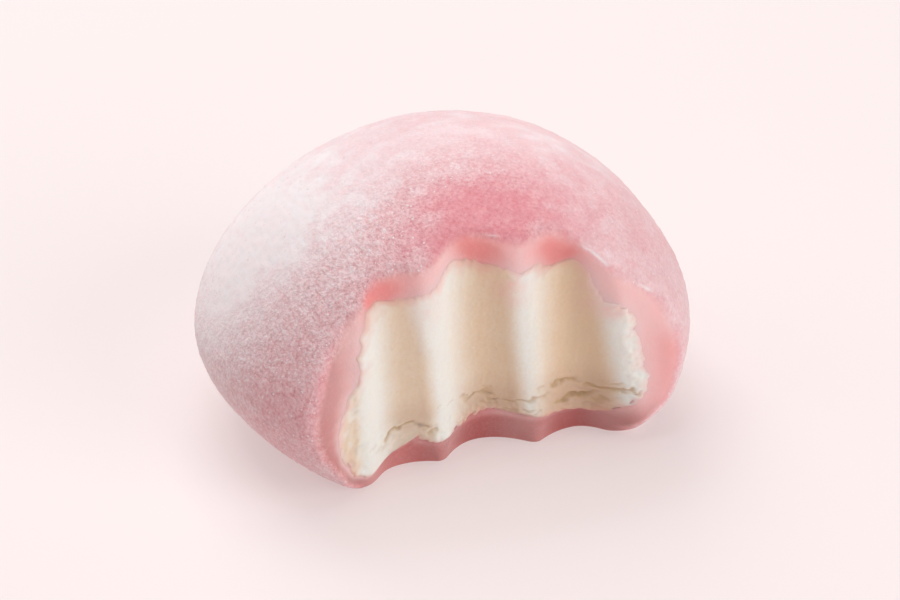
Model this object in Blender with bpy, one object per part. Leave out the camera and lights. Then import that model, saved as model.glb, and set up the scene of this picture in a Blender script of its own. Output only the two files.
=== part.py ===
"""Ice-cream mochi with one bite out of its front: rice-dough skin round a filling.

Metres, +Z up. The flat base lies on Z = 0 and the bite faces -Y. The dome is turned
about its own axis, and the origin lies under the middle of what the bite leaves.
"""
import math
from collections import namedtuple

import bmesh
import bpy

# The whole ball
BALL_RADIUS = 0.0230
BALL_HEIGHT = 0.0278
WIDEST_LEVEL = 0.0096
BASE_RADIUS = 0.0153
CROWN_DRIFT = (0.0010, -0.0004)  # the soft dome leans a little to one side
DOME_AXIS = (-0.0001, -0.0041, 0.0)

# Roundness of the outline: 2 is an ellipse, and less is flatter
CROWN_ROUNDNESS = 2.0
SHOULDER_ROUNDNESS = 1.55
UNDERSIDE_ROUNDNESS = 1.65

# The wall of dough, and the clearance between it and the filling
SKIN_AT_SIDES = 0.0026
SKIN_AT_BASE = 0.0020
CLEARANCE = 0.0003

# Facets
SEGMENTS = 60
SIDE_STEPS_BELOW = 6
SIDE_STEPS_ABOVE = 13
BITE_COLUMNS = 44
BITE_ROWS = 27

# The bite: tooth marks side by side, each a trough that leans as it rises.
# foot_x and foot_y place its deepest line at the base, lean_x and lean_y move that
# line per metre of height, and left and right are the distances at which the trough
# has come back towards the mouth by MARK_RISE.
ToothMark = namedtuple("ToothMark", "foot_x foot_y lean_x lean_y left right")
TOOTH_MARKS = (
    ToothMark(-0.0170, -0.0142, -0.05, -0.06, 0.0063, 0.0063),
    ToothMark(-0.0072, -0.0091, -0.15, -0.10, 0.0052, 0.0050),
    ToothMark(0.0004, -0.0078, -0.12, -0.15, 0.0037, 0.0043),
    ToothMark(0.0094, -0.0092, -0.15, -0.13, 0.0048, 0.0032),
    ToothMark(0.0165, -0.0128, -0.10, -0.08, 0.0110, 0.0063),
)
MARK_RISE = 0.0020
MARK_BLEND = 0.0007              # rounding of the ridge between two marks

# A crest of squeezed filling stands at the left of the first full mark
CREST_X = -0.0114
CREST_LEAN = -0.035
CREST_HEIGHT = 0.0008
CREST_HALF_WIDTH = 0.0014

BITE_HALF_WIDTH = 0.0262
BITE_BELOW = -0.0013
BITE_ABOVE = 0.0302
BITE_REACH = -0.0290             # the cutter ends in front of the whole ball


def side_profile(inset, floor):
    """Points (radius, height) from the middle of the underside up to the crown."""
    widest = BALL_RADIUS - inset
    foot = BASE_RADIUS - 0.2 * inset
    below = WIDEST_LEVEL - floor
    above = BALL_HEIGHT - inset - WIDEST_LEVEL
    points = [(0.0, floor)]
    for step in range(SIDE_STEPS_BELOW):
        angle = 0.5 * math.pi * (1.0 - step / SIDE_STEPS_BELOW)
        out = math.cos(angle) ** (2.0 / UNDERSIDE_ROUNDNESS)
        down = math.sin(angle) ** (2.0 / UNDERSIDE_ROUNDNESS)
        points.append((foot + (widest - foot) * out, WIDEST_LEVEL - below * down))
    for step in range(SIDE_STEPS_ABOVE):
        angle = 0.5 * math.pi * step / SIDE_STEPS_ABOVE
        out = math.cos(angle) ** (2.0 / CROWN_ROUNDNESS)
        up = math.sin(angle) ** (2.0 / SHOULDER_ROUNDNESS)
        points.append((widest * out, WIDEST_LEVEL + above * up))
    points.append((0.0, WIDEST_LEVEL + above))
    return points


def make_object(name, bm, parent):
    """Turn a finished bmesh into an object that stands on the dome's axis."""
    bmesh.ops.recalc_face_normals(bm, faces=bm.faces)
    mesh = bpy.data.meshes.new(name)
    bm.to_mesh(mesh)
    bm.free()
    made = bpy.data.objects.new(name, mesh)
    made.parent = parent
    bpy.context.scene.collection.objects.link(made)
    return made


def make_dome(name, parent, inset=0.0, floor=0.0):
    """A turned ball with a flat underside, drifting sideways towards its crown."""
    bm = bmesh.new()
    points = [bm.verts.new((radius, 0.0, height)) for radius, height in side_profile(inset, floor)]
    edges = [bm.edges.new(pair) for pair in zip(points, points[1:])]
    bmesh.ops.spin(
        bm, geom=points + edges, axis=(0.0, 0.0, 1.0), cent=(0.0, 0.0, 0.0),
        angle=2.0 * math.pi, steps=SEGMENTS, use_merge=True)
    bmesh.ops.remove_doubles(bm, verts=bm.verts, dist=0.000001)
    for vert in bm.verts:
        share = (vert.co.z / BALL_HEIGHT) ** 2
        vert.co.x += CROWN_DRIFT[0] * share
        vert.co.y += CROWN_DRIFT[1] * share
    return make_object(name, bm, parent)


def smooth_maximum(first, second, blend):
    """The larger of two values, rounded where they are close."""
    mix = min(max(0.5 + 0.5 * (first - second) / blend, 0.0), 1.0)
    return second + (first - second) * mix + blend * mix * (1.0 - mix)


def bite_depth(x, z):
    """Y of the bitten face at one place across and up: the deepest tooth mark there."""
    deepest = None
    for mark in TOOTH_MARKS:
        across = x - mark.foot_x - mark.lean_x * z
        reach = mark.left if across < 0.0 else mark.right
        trough = mark.foot_y + mark.lean_y * z - MARK_RISE * (across / reach) ** 2
        deepest = trough if deepest is None else smooth_maximum(deepest, trough, MARK_BLEND)
    off_crest = (x - CREST_X - CREST_LEAN * z) / CREST_HALF_WIDTH
    return deepest - CREST_HEIGHT * math.exp(-off_crest ** 2)


def make_bite(parent):
    """The cutter: a sheet shaped like the bitten face, drawn out forwards to a solid."""
    bm = bmesh.new()
    bmesh.ops.create_grid(bm, x_segments=BITE_COLUMNS, y_segments=BITE_ROWS, size=1.0)
    middle = 0.5 * (BITE_ABOVE + BITE_BELOW)
    half_height = 0.5 * (BITE_ABOVE - BITE_BELOW)
    for vert in bm.verts:
        x = vert.co.x * BITE_HALF_WIDTH
        z = middle + vert.co.y * half_height
        vert.co = (x, max(bite_depth(x, z), 0.97 * BITE_REACH), z)
    drawn = bmesh.ops.extrude_face_region(bm, geom=bm.faces[:])["geom"]
    for part in drawn:
        if isinstance(part, bmesh.types.BMVert):
            part.co.y = BITE_REACH
    return mark_as_cutter(make_object("bite_cutter", bm, parent))


def mark_as_cutter(cutter):
    """Keep a cutting tool out of the model itself."""
    cutter.hide_render = True
    cutter.display_type = "WIRE"
    return cutter


def cut(target, cutter):
    """Take the cutter's shape out of the target."""
    boolean = target.modifiers.new(cutter.name, "BOOLEAN")
    boolean.operation = "DIFFERENCE"
    boolean.solver = "EXACT"
    boolean.object = cutter


def give_material(target, name, colour, roughness):
    """One plain food material for each piece."""
    material = bpy.data.materials.new(name)
    material.use_nodes = True
    shader = material.node_tree.nodes["Principled BSDF"]
    shader.inputs["Base Color"].default_value = (*colour, 1.0)
    shader.inputs["Roughness"].default_value = roughness
    shader.inputs["Metallic"].default_value = 0.0
    target.data.materials.append(material)


def shade_round(target):
    """Smooth over the turned faces, with an edge kept round the flat underside."""
    target.data.shade_smooth()
    target.data.set_sharp_from_angle(angle=math.radians(40.0))


def clear_scene():
    """Start from an empty scene."""
    for old in list(bpy.data.objects):
        bpy.data.objects.remove(old, do_unlink=True)


def main():
    """Build the skin and the filling round one shared axis and one shared bite."""
    clear_scene()
    axis = bpy.data.objects.new("dome_axis", None)
    axis.location = DOME_AXIS
    bpy.context.scene.collection.objects.link(axis)

    hollow = mark_as_cutter(make_dome("hollow_cutter", axis, SKIN_AT_SIDES, SKIN_AT_BASE))
    bite = make_bite(axis)

    skin = make_dome("mochi_skin", axis)
    shade_round(skin)
    give_material(skin, "pink_rice_dough", (0.80, 0.42, 0.45), 0.75)
    cut(skin, hollow)
    cut(skin, bite)

    filling = make_dome(
        "cream_filling", axis, SKIN_AT_SIDES + CLEARANCE, SKIN_AT_BASE + CLEARANCE)
    shade_round(filling)
    give_material(filling, "vanilla_ice_cream", (0.86, 0.78, 0.66), 0.6)
    cut(filling, bite)


main()
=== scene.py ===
"""Looks of a bitten ice-cream mochi: dough skin, cream filling and starch dusting.

Laid out as an add-on and run as a script. The shape functions work in millimetres in a
frame that stands on the dome's own axis, with the bite facing -Y; finished meshes are
in metres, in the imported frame.
"""
import math
from collections import namedtuple

import bpy
import numpy as np
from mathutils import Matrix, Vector


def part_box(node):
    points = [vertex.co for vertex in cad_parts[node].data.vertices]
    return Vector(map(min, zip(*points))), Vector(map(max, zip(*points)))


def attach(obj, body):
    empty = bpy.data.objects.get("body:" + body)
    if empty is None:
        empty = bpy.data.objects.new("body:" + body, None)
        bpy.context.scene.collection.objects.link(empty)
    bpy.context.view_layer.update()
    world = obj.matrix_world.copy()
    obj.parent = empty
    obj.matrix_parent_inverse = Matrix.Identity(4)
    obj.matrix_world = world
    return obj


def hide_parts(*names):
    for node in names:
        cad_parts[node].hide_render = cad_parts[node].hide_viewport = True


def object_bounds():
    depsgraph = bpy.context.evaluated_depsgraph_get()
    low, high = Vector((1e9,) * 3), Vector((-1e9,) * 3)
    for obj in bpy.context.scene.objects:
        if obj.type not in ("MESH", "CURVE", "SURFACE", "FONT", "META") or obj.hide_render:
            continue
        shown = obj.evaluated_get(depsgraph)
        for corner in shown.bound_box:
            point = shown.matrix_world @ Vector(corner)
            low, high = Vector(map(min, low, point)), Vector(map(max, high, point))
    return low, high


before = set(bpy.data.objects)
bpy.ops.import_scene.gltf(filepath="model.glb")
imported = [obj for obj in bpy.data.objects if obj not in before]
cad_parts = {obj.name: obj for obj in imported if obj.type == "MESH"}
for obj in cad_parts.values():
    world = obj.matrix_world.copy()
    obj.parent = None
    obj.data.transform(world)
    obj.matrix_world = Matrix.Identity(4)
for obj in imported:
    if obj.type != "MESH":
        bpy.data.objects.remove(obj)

bl_info = {
    "name": "Bitten mochi",
    "version": (1, 0, 0),
    "blender": (4, 5, 0),
    "location": "3D View > Sidebar > Mochi",
    "description": "Builds the dough, the filling and the starch of a bitten mochi",
    "category": "Add Mesh",
}

MM = 0.001
CAD_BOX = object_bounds()
SKIN_LOW, SKIN_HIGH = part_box("mochi_skin")

# The whole ball, millimetres
BALL_RADIUS = 0.5 * (SKIN_HIGH.x - SKIN_LOW.x) / MM
BALL_HEIGHT = SKIN_HIGH.z / MM
WIDEST_LEVEL = 9.6
BASE_RADIUS = 15.3
CROWN_DRIFT = np.array([1.0, -0.4, 0.0])
CROWN_ROUNDNESS = 2.0
SHOULDER_ROUNDNESS = 1.55
UNDERSIDE_ROUNDNESS = 1.65
CORNER_SOFTNESS = 1.0
HEART_LEVEL = 10.5                   # the inner point that every outward ray starts from
OUTLINE_POINTS = 600
NEAREST_EDGE, FARTHEST_EDGE = 0.25, 1.9    # radians from the middle of the bite
HALVINGS = 34

# The bite: tooth marks side by side (see bite_depth)
ToothMark = namedtuple("ToothMark", "foot_x foot_y lean_x lean_y left right")
TOOTH_MARKS = (
    ToothMark(-17.0, -14.2, -0.05, -0.06, 6.3, 6.3),
    ToothMark(-7.2, -9.1, -0.15, -0.10, 5.2, 5.0),
    ToothMark(0.4, -7.8, -0.12, -0.15, 3.7, 4.3),
    ToothMark(9.4, -9.2, -0.15, -0.13, 4.8, 3.2),
    ToothMark(16.5, -12.8, -0.10, -0.08, 11.0, 6.3),
)
MARK_RISE = 2.0
# The deepest red of the cut dough is painted shade
DEEP_RED_SHADE_DRIFT = (0.0, 1.2, 0.7)         # how far right of each mark the dough is deepest red
FOOT_BLEND, FACE_BLEND = 1.2, 2.6    # how round the ridges are, on the floor and above it
FOOT_TO_FACE = (0.5, 4.5)            # levels between which they change
CREST_X, CREST_LEAN, CREST_HEIGHT, CREST_HALF_WIDTH = -10.9, -0.07, 0.8, 1.4
LIP_LEVEL, LIP_HALF_HEIGHT = 3.2, 1.7
FACE_MIDDLE = (-0.5, 11.5)           # middle of the bitten face, across and up

# Thickness of the dough round the bite: (direction in degrees, millimetres)
WALL_KNOTS = (
    (-180, 4.7), (-176, 4.4), (-172, 3.3), (-168, 2.6), (-163, 2.0), (-157, 1.4), (-150, 1.2),
    (-142, 1.2), (-138, 1.7), (-134, 3.2), (-132, 4.4), (-129, 3.6), (-120, 2.8), (-113, 2.4),
    (-107, 2.9), (-91, 3.5), (-79, 4.1), (-57, 4.4), (-48, 3.9), (-40, 3.4), (-35, 2.7),
    (-30, 2.1), (-23, 1.7), (-18, 1.9), (-2, 3.2), (21, 2.1), (25, 2.1), (30, 3.0), (36, 2.6),
    (43, 2.1), (49, 1.6), (54, 1.7), (60, 3.0), (69, 2.6), (78, 3.1), (87, 2.9),
    (95, 2.75), (104, 2.2), (110, 1.75), (117, 2.35), (130, 2.75), (136, 2.4), (141, 1.5),
    (145, 1.05), (152, 2.0), (160, 3.35), (170, 4.6), (175, 4.95), (180, 4.7),
)
OVERLAP = 0.5                        # how far the cream lies over the cut dough at its edge
WALL_BEHIND = 2.6
FILLING_GAP = 0.05                   # how far inside the skin the filling stays, behind

# Where the cream is tan in each tooth mark, partly its own tone and partly painted shade in the
# hollow:
# its left edge and its right edge low, halfway and high up, the width of the left edge's fade, and
# how much, low and high up
Tan = namedtuple("Tan", "left right fade low high")
TAN_LEVELS = (6.0, 12.0, 18.0)
TANS = (
    Tan((-10.1, -10.6, -11.0), (-4.7, -5.4, -7.2), 3.0, 0.45, 0.82),
    Tan((-3.0, -3.9, -4.2), (3.9, 2.9, 2.2), 4.0, 0.92, 0.92),
    Tan((4.1, 3.8, 3.5), (12.2, 11.0, 9.8), 4.2, 0.95, 1.00),
)
TAN_START, TAN_END = 0.4, 1.0
TAN_FOOT = (3.5, 6.5)                # levels between which the low tan becomes the high one

# Fissures where the lower teeth tore the filling: points across and up, depth, half width
Fissure = namedtuple("Fissure", "points depth half_width")
FISSURES = (
    Fissure(((-1.3, 5.5), (-0.2, 5.8), (0.5, 6.0), (1.6, 5.9)), 0.22, 0.13),
    Fissure(((3.3, 5.0), (4.2, 5.1), (5.1, 5.3), (6.7, 5.2)), 0.20, 0.15),
    Fissure(((6.7, 6.1), (7.8, 6.0), (8.5, 6.3), (9.4, 6.1)), 0.30, 0.13),
    Fissure(((7.1, 4.1), (8.2, 4.1), (8.8, 4.3), (9.7, 4.3), (10.4, 4.6), (11.0, 5.0)), 0.40, 0.17),
    Fissure(((9.8, 5.3), (10.9, 5.5), (12.3, 5.7), (13.4, 5.9), (14.2, 5.6)), 0.28, 0.14),
    Fissure(((10.5, 3.9), (11.3, 4.5), (11.9, 4.2)), 0.20, 0.14),
    Fissure(((-9.5, 3.7), (-8.8, 4.5), (-8.0, 4.6), (-7.0, 5.0), (-6.4, 5.0)), 0.34, 0.15),
    Fissure(((-6.5, 4.9), (-5.8, 4.5), (-4.9, 4.4)), 0.24, 0.13),
    Fissure(((-5.4, 3.7), (-4.3, 3.9)), 0.20, 0.20),
)
# Places where a film of dough smeared over the cream
Film = namedtuple("Film", "x z half_width half_height amount")
FILMS = (
    Film(2.2, 18.8, 1.5, 2.0, 0.65),
    Film(-5.9, 18.0, 1.6, 1.8, 0.32),
    Film(11.3, 15.8, 2.1, 1.5, 0.85),
    Film(13.6, 13.2, 0.9, 1.8, 0.35),
)
# Places where the torn foot of the skin sags: across, outward, reach and how far down
Sag = namedtuple("Sag", "x y reach down")
SAG_LEVELS = (7.0, 1.5)              # none at the first, whole at the second
SAGS = (Sag(-12.3, -12.3, 2.8, 0.45), Sag(13.8, -12.8, 2.8, 0.5))
# Places where the soft ball is flattened, or bulges: a point, its reach, how far inwards
Slump = namedtuple("Slump", "x y z reach inward")
SLUMPS = (
    Slump(0.0, 8.0, 25.0, 14.0, 0.36),
    Slump(18.5, -1.0, 17.0, 6.5, 0.38),
    Slump(-19.5, -5.0, 3.5, 6.0, 0.28),
    Slump(17.4, -12.9, 3.3, 4.0, -1.15),
)
FISSURE_DEPTH, GROOVE_WIDENING = 0.8, 1.3    # every fissure's depth and width times this
# The fissure colour is painted shade: a fissure this deep takes all of it
FULL_FISSURE_SHADE_DEPTH = 0.22                 # a fissure this deep is wholly brown
SMALL_FISSURES, SMALL_FISSURE_SEED = 34, 5
CRUMBLE_TOP = 6.6                    # level under which the filling broke rather than sheared

# Mesh density
ROUND_THE_BITE = 600
OUTER_ROWS = 136
CUT_ROWS = 19
INNER_ROWS = 8
ROW_CROWDING = 0.4                   # how much closer the outer rows stand at the bite
FACE_COLUMNS = 640
FACE_ROWS = 110
BACK_ROWS = 10

# The stage: soft square lights with watts, side and place in metres, and the camera
SoftLight = namedtuple("SoftLight", "name power size place")
LIGHTS = (
    SoftLight("overhead", 1.5, 0.50, (0.00, 0.05, 0.60)),
    SoftLight("behind", 2.7, 0.50, (0.00, 0.45, 0.50)),
    SoftLight("right front", 2.75, 0.50, (0.40, -0.50, 0.30)),
    SoftLight("left", 1.0, 0.50, (-0.40, 0.10, 0.45)),
    SoftLight("low front", 0.60, 0.40, (0.00, -0.65, 0.11)),
)
LIT_POINT = Vector((0.0, 0.0, 0.012))
SURROUND_LIGHT = (0.02, 0.02 * 0.97, 0.02 * 0.965)
FLOOR_HALF, FLOOR_GAP = 3.0, 0.00002
LENS, SENSOR = 130.2, 36.0           # millimetres
SEEN_LEVEL, AIM_RIGHT, AIM_DOWN = 0.015, 0.00084, 0.00359    # metres, what the camera aims at


# ---- noise and easing

def ease(low, high, value):
    """0 at low, 1 at high, smooth between and level beyond."""
    share = np.clip((value - low) / (high - low), 0.0, 1.0)
    return share * share * (3.0 - 2.0 * share)


def blob_noise(points, size, seed):
    """Smooth noise from -1 to 1 whose blobs are about size across."""
    table = np.random.default_rng(seed).random((32, 32, 32))
    cell = points / size
    base = np.floor(cell).astype(int)
    part = cell - base
    part = part * part * (3.0 - 2.0 * part)
    total = np.zeros(points.shape[:-1])
    for corner in np.ndindex(2, 2, 2):
        weight = np.prod(np.where(corner, part, 1.0 - part), axis=-1)
        index = (base + corner) % 32
        total += weight * table[index[..., 0], index[..., 1], index[..., 2]]
    return 2.0 * total - 1.0


def layered(points, *layers):
    """Layers of smooth noise: each has an amount, a size and a seed."""
    return sum(amount * blob_noise(points, size, seed) for amount, size, seed in layers)


def smooth_maximum(first, second, blend):
    """The larger of two values, rounded where they are close."""
    mix = np.clip(0.5 + 0.5 * (first - second) / blend, 0.0, 1.0)
    return second + (first - second) * mix + blend * mix * (1.0 - mix)


# ---- the ball

def turned_outline():
    """Radius and height from the middle of the underside to the crown, evenly spaced."""
    turn = np.linspace(0.0, 0.5 * math.pi, OUTLINE_POINTS)
    flare = np.sin(turn) ** (2.0 / UNDERSIDE_ROUNDNESS)
    drop = np.cos(turn) ** (2.0 / UNDERSIDE_ROUNDNESS)
    under_r = BASE_RADIUS + (BALL_RADIUS - BASE_RADIUS) * flare
    under_z = WIDEST_LEVEL * (1.0 - drop)
    over_r = BALL_RADIUS * np.cos(turn) ** (2.0 / CROWN_ROUNDNESS)
    rise = np.sin(turn) ** (2.0 / SHOULDER_ROUNDNESS)
    over_z = WIDEST_LEVEL + (BALL_HEIGHT - WIDEST_LEVEL) * rise
    radius = np.concatenate([[0.0], under_r, over_r[1:]])
    height = np.concatenate([[0.0], under_z, over_z[1:]])
    run = np.concatenate([[0.0], np.cumsum(np.hypot(np.diff(radius), np.diff(height)))])
    even = np.linspace(0.0, run[-1], OUTLINE_POINTS)
    return np.interp(even, run, radius), np.interp(even, run, height), even[1]


def soften(values, step, mirror):
    """Smooth a run of values, which carries on mirrored past both ends."""
    reach = int(3.0 * CORNER_SOFTNESS / step)
    away = np.arange(-reach, reach + 1) * step / CORNER_SOFTNESS
    kernel = np.exp(-0.5 * away ** 2)
    longer = np.concatenate([
        mirror * values[reach:0:-1], values, mirror * values[-2:-reach - 2:-1]])
    return np.convolve(longer, kernel / kernel.sum(), "valid")


def ball_tables():
    """Distance from the heart to the outline, and the slant of a ray there, by angle."""
    radius, height, step = turned_outline()
    radius = np.abs(soften(radius, step, -1.0))
    radius[[0, -1]] = 0.0
    height = soften(height, step, 1.0)
    height = height - height[0]
    height *= BALL_HEIGHT / height[-1]
    along_r, along_z = np.gradient(radius), np.gradient(height)
    rise = height - HEART_LEVEL
    distance = np.hypot(radius, rise)
    outward = (along_z * radius - along_r * rise) / np.hypot(along_r, along_z)
    angle = np.arctan2(radius, rise)
    return angle[::-1], distance[::-1], (distance / outward)[::-1]


BALL_ANGLE, BALL_REACH, BALL_SLANT = ball_tables()


def shell_point(direction, depth):
    """The point that lies depth under the ball's surface, seen from the heart."""
    angle = np.arctan2(np.hypot(direction[..., 0], direction[..., 1]), direction[..., 2])
    reach = np.interp(angle, BALL_ANGLE, BALL_REACH)
    reach = reach - depth * np.interp(angle, BALL_ANGLE, BALL_SLANT)
    point = direction * reach[..., None]
    point[..., 2] += HEART_LEVEL
    return point + CROWN_DRIFT * ((point[..., 2] / BALL_HEIGHT) ** 2)[..., None]


def toward(around, away):
    """Unit direction at an angle away from the middle of the bite, and round it."""
    return np.stack([
        np.sin(away) * np.cos(around), -np.cos(away), np.sin(away) * np.sin(around)], -1)


# ---- the bite

def bite_depth(x, z, lip):
    """Y of the bitten face: the deepest tooth mark, a crest and a lip torn outwards."""
    blend = FOOT_BLEND + (FACE_BLEND - FOOT_BLEND) * ease(*FOOT_TO_FACE, z)
    deepest = None
    for mark in TOOTH_MARKS:
        across = x - mark.foot_x - mark.lean_x * z
        reach = np.where(across < 0.0, mark.left, mark.right)
        trough = mark.foot_y + mark.lean_y * z - MARK_RISE * (across / reach) ** 2
        deepest = trough if deepest is None else smooth_maximum(deepest, trough, blend)
    off_crest = (x - CREST_X - CREST_LEAN * z) / CREST_HALF_WIDTH
    off_lip = (z - LIP_LEVEL) / LIP_HALF_HEIGHT
    return deepest - CREST_HEIGHT * np.exp(-off_crest ** 2) - lip * np.exp(-off_lip ** 2)


def tan_and_shade_share(x, z):
    """How tan the cream is, partly its own tone and partly painted shade in the hollows: 0 on a
    ridge, 1 along the middle of a tooth mark.
    """
    best = np.zeros(np.shape(x))
    for tan in TANS:
        left = np.interp(z, TAN_LEVELS, tan.left)
        right = np.interp(z, TAN_LEVELS, tan.right)
        fall = 1.0 - ease(right - TAN_END, right + TAN_END, x)
        rise = ease(left - TAN_START, left + tan.fade, x)
        amount = tan.low + (tan.high - tan.low) * ease(*TAN_FOOT, z)
        best = np.maximum(best, amount * rise * fall)
    return best


def mark_share(x, z):
    """How close a place is to the middle of one of the three tooth marks in the cream."""
    best = np.zeros(np.shape(x))
    high_up = ease(8.0, 16.0, z)
    for mark, drift in zip(TOOTH_MARKS[1:-1], DEEP_RED_SHADE_DRIFT):
        across = x - mark.foot_x - mark.lean_x * z - drift * high_up
        off = np.abs(across) / np.where(across < 0.0, mark.left, mark.right)
        best = np.maximum(best, 1.0 - ease(0.1, 0.95, off))
    off_crest = x - CREST_X - CREST_LEAN * z
    return best * ease(-0.8, 1.0, off_crest)


def wall_thickness(around):
    """Thickness of the dough where the bite crosses it, by direction round the face."""
    knots = np.array(WALL_KNOTS, float)
    degrees = (np.degrees(around) + 180.0) % 360.0 - 180.0
    index = np.clip(np.searchsorted(knots[:, 0], degrees, "right") - 1, 0, len(knots) - 2)
    low, high = knots[index], knots[index + 1]
    share = (degrees - low[:, 0]) / (high[:, 0] - low[:, 0])
    share = share * share * (3.0 - 2.0 * share)
    return low[:, 1] + (high[:, 1] - low[:, 1]) * share


def bite_edge(around, depth, lip):
    """Angle away from the bite's middle at which a shell meets the bitten face."""
    low = np.full(around.shape, NEAREST_EDGE)
    high = np.full(around.shape, FARTHEST_EDGE)
    for _ in range(HALVINGS):
        middle = 0.5 * (low + high)
        point = shell_point(toward(around, middle), depth)
        bitten = point[:, 1] < bite_depth(point[:, 0], point[:, 2], lip)
        low = np.where(bitten, middle, low)
        high = np.where(bitten, high, middle)
    return 0.5 * (low + high)


def settled(points):
    """Points with the ball flattened a little and the torn foot of the skin let down."""
    ray = points - np.array([0.0, 0.0, HEART_LEVEL])
    inward = np.zeros(points.shape[:-1])
    for slump in SLUMPS:
        apart = ((points - np.array([slump.x, slump.y, slump.z])) ** 2).sum(-1)
        inward = inward + slump.inward * np.exp(-apart / slump.reach ** 2)
    rest = points - ray * (inward / np.linalg.norm(ray, axis=-1))[..., None]
    down = np.zeros(points.shape[:-1])
    for sag in SAGS:
        apart = (points[..., 0] - sag.x) ** 2 + (points[..., 1] - sag.y) ** 2
        down = down + sag.down * np.exp(-apart / sag.reach ** 2)
    rest[..., 2] = np.maximum(rest[..., 2] - down * ease(*SAG_LEVELS, points[..., 2]), 0.0)
    return rest


# ---- meshes

def close_rows(rows, first_pole, last_pole):
    """Vertices and faces of a tube of closed rows, shut with a fan at either end."""
    count, around = rows.shape[:2]
    verts = np.concatenate([rows.reshape(-1, 3), [first_pole], [last_pole]])
    here = np.arange(count * around).reshape(count, around)
    beside = np.roll(here, -1, axis=1)
    quads = np.stack([here[:-1], beside[:-1], beside[1:], here[1:]], -1).reshape(-1, 4)
    start = [(int(b), int(a), count * around) for a, b in zip(here[0], beside[0])]
    end = [(int(a), int(b), count * around + 1) for a, b in zip(here[-1], beside[-1])]
    return verts, quads.tolist() + start + end


def row_normals(rows):
    """Unit normals of a grid of closed rows, pointing out when the rows run backwards."""
    down = np.gradient(rows, axis=0)
    side = np.roll(rows, -1, axis=1) - np.roll(rows, 1, axis=1)
    normal = np.cross(side, down)
    return normal / np.maximum(np.linalg.norm(normal, axis=-1, keepdims=True), 1e-9)


def smooth_rows(rows, weight, passes):
    """Round the edges that run along the rows, by moving each row towards its neighbours."""
    for _ in range(passes):
        middle = 0.5 * (rows[:-2] + rows[2:])
        rows[1:-1] += 0.5 * weight[1:-1, :, None] * (middle - rows[1:-1])
    return rows


def dome_axis():
    """Where the dome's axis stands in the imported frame, metres."""
    drift = CROWN_DRIFT * (WIDEST_LEVEL / BALL_HEIGHT) ** 2 * MM
    middle_x = 0.5 * (SKIN_LOW.x + SKIN_HIGH.x)
    return Vector((middle_x - drift[0], SKIN_HIGH.y - BALL_RADIUS * MM - drift[1], 0.0))


def make_piece(name, verts, faces, attributes):
    """A closed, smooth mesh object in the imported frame, with its point attributes."""
    mesh = bpy.data.meshes.new(name)
    placed = verts * MM + np.array(dome_axis())
    mesh.from_pydata(placed.tolist(), [], faces)
    if signed_volume(mesh) < 0.0:
        mesh.flip_normals()
    for key, values in attributes.items():
        layer = mesh.attributes.new(key, "FLOAT", "POINT")
        layer.data.foreach_set("value", np.asarray(values, np.float32))
    mesh.shade_smooth()
    mesh.update()
    return place_in_scene(name, mesh)


def place_in_scene(name, data):
    """A new object that holds the data, linked to the scene."""
    item = bpy.data.objects.new(name, data)
    bpy.context.scene.collection.objects.link(item)
    return item


def signed_volume(mesh):
    """Six times the volume of a closed mesh, negative when it is inside out."""
    mesh.calc_loop_triangles()
    corners = np.empty(len(mesh.loop_triangles) * 3, np.int32)
    mesh.loop_triangles.foreach_get("vertices", corners)
    points = np.empty(len(mesh.vertices) * 3)
    mesh.vertices.foreach_get("co", points)
    first, second, third = points.reshape(-1, 3)[corners].reshape(-1, 3, 3).transpose(1, 0, 2)
    return float(np.einsum("ij,ij->", first, np.cross(second, third)))


# ---- the dough

# Places on the dome where the starch lies thinner (negative) or thicker:
# a direction seen from the heart, a half width in degrees, and how much
DustPatch = namedtuple("DustPatch", "x y z spread amount")
DUST_PATCHES = (
    DustPatch(0.4, -10.0, 15.5, 20.0, -0.49),
    DustPatch(-4.0, -12.0, 12.0, 16.0, -0.14),
    DustPatch(9.0, -11.0, 13.0, 24.0, -0.17),
    DustPatch(-16.0, 2.0, 10.0, 30.0, 0.38),
    DustPatch(-20.0, -12.0, 2.0, 32.0, -0.22),
    DustPatch(-20.0, 8.0, 4.0, 30.0, 0.22),
    DustPatch(18.0, -8.0, 6.0, 26.0, -0.13),
    DustPatch(-8.0, -9.0, 14.0, 18.0, -0.15),
)
DUST_ELSEWHERE, LEAST_DUST = 0.64, 0.10
ROUNDED_ROWS = 5.0                   # rows on either side that the bitten edge's rounding takes
RED_PAST_EDGE = 0.35                 # how far the red of a tooth mark climbs over the edge
RIM_LINE, RIM_LINE_WIDTH = 0.05, 0.16    # where starch is caught along the bitten edge
SMEAR_SIZE = np.array([2.2, 1.1, 1.1])


def dust_cover(points):
    """Share of the dough that starch hides, before its grain."""
    ray = points - np.array([0.0, 0.0, HEART_LEVEL])
    ray = ray / np.linalg.norm(ray, axis=-1, keepdims=True)
    cover = np.full(points.shape[:-1], DUST_ELSEWHERE)
    for patch in DUST_PATCHES:
        middle = np.array([patch.x, patch.y, patch.z])
        near = np.clip(ray @ (middle / np.linalg.norm(middle)), -1.0, 1.0)
        apart = np.degrees(np.arccos(near)) / patch.spread
        cover = cover + patch.amount * np.exp(-apart ** 2)
    smear = ease(-0.1, 0.8, blob_noise(points / SMEAR_SIZE, 1.0, 23))
    on_crown = ease(16.0, 23.0, points[..., 2])
    cover = cover + 0.13 * smear * on_crown
    cover = cover + layered(points, (0.07, 5.0, 21), (0.06, 1.5, 22))
    off_floor = ease(-0.6, 1.6, points[..., 2])
    return np.clip(cover, LEAST_DUST, 1.0) * off_floor


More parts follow.
